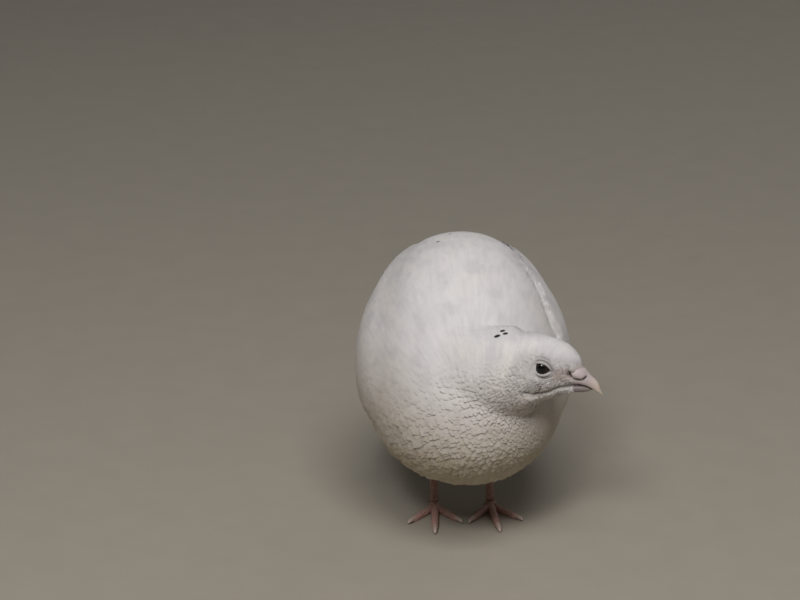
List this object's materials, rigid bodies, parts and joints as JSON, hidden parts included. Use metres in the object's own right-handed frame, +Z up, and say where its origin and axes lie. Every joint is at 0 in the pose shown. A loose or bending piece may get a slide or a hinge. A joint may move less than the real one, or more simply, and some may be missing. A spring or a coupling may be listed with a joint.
{
  "type": "coturnix quail",
  "caption": "Life-size white coturnix quail, standing with its back humped, its head lowered and turned to its left.",
  "frame": {"origin": "on the floor, under the middle of the bird's bounding box", "axes": "+Z up; the body faces -Y and the tail points to +Y; +X is the bird's own left, where the bill points"},
  "size_m": [0.0942, 0.1502, 0.1162],
  "materials": {
    "plumage": "soft white contour feathers",
    "vanes": "smooth white flight and tail feathers",
    "horn": "satin pinkish horn",
    "skin": "scaled flesh-pink leg skin",
    "eye": "wet near-black"
  },
  "bodies": {
    "root": {"torso": "plumage", "neck": "plumage", "head": "plumage", "thigh_left": "plumage", "thigh_right": "plumage", "tail": "vanes", "wing_left": "vanes", "wing_right": "vanes", "bill_upper": "horn", "bill_lower": "horn", "eye_left": "eye", "eye_right": "eye", "shank_left": "skin", "shank_right": "skin", "foot_left": "skin", "foot_right": "skin"}
  },
  "joints": []
}
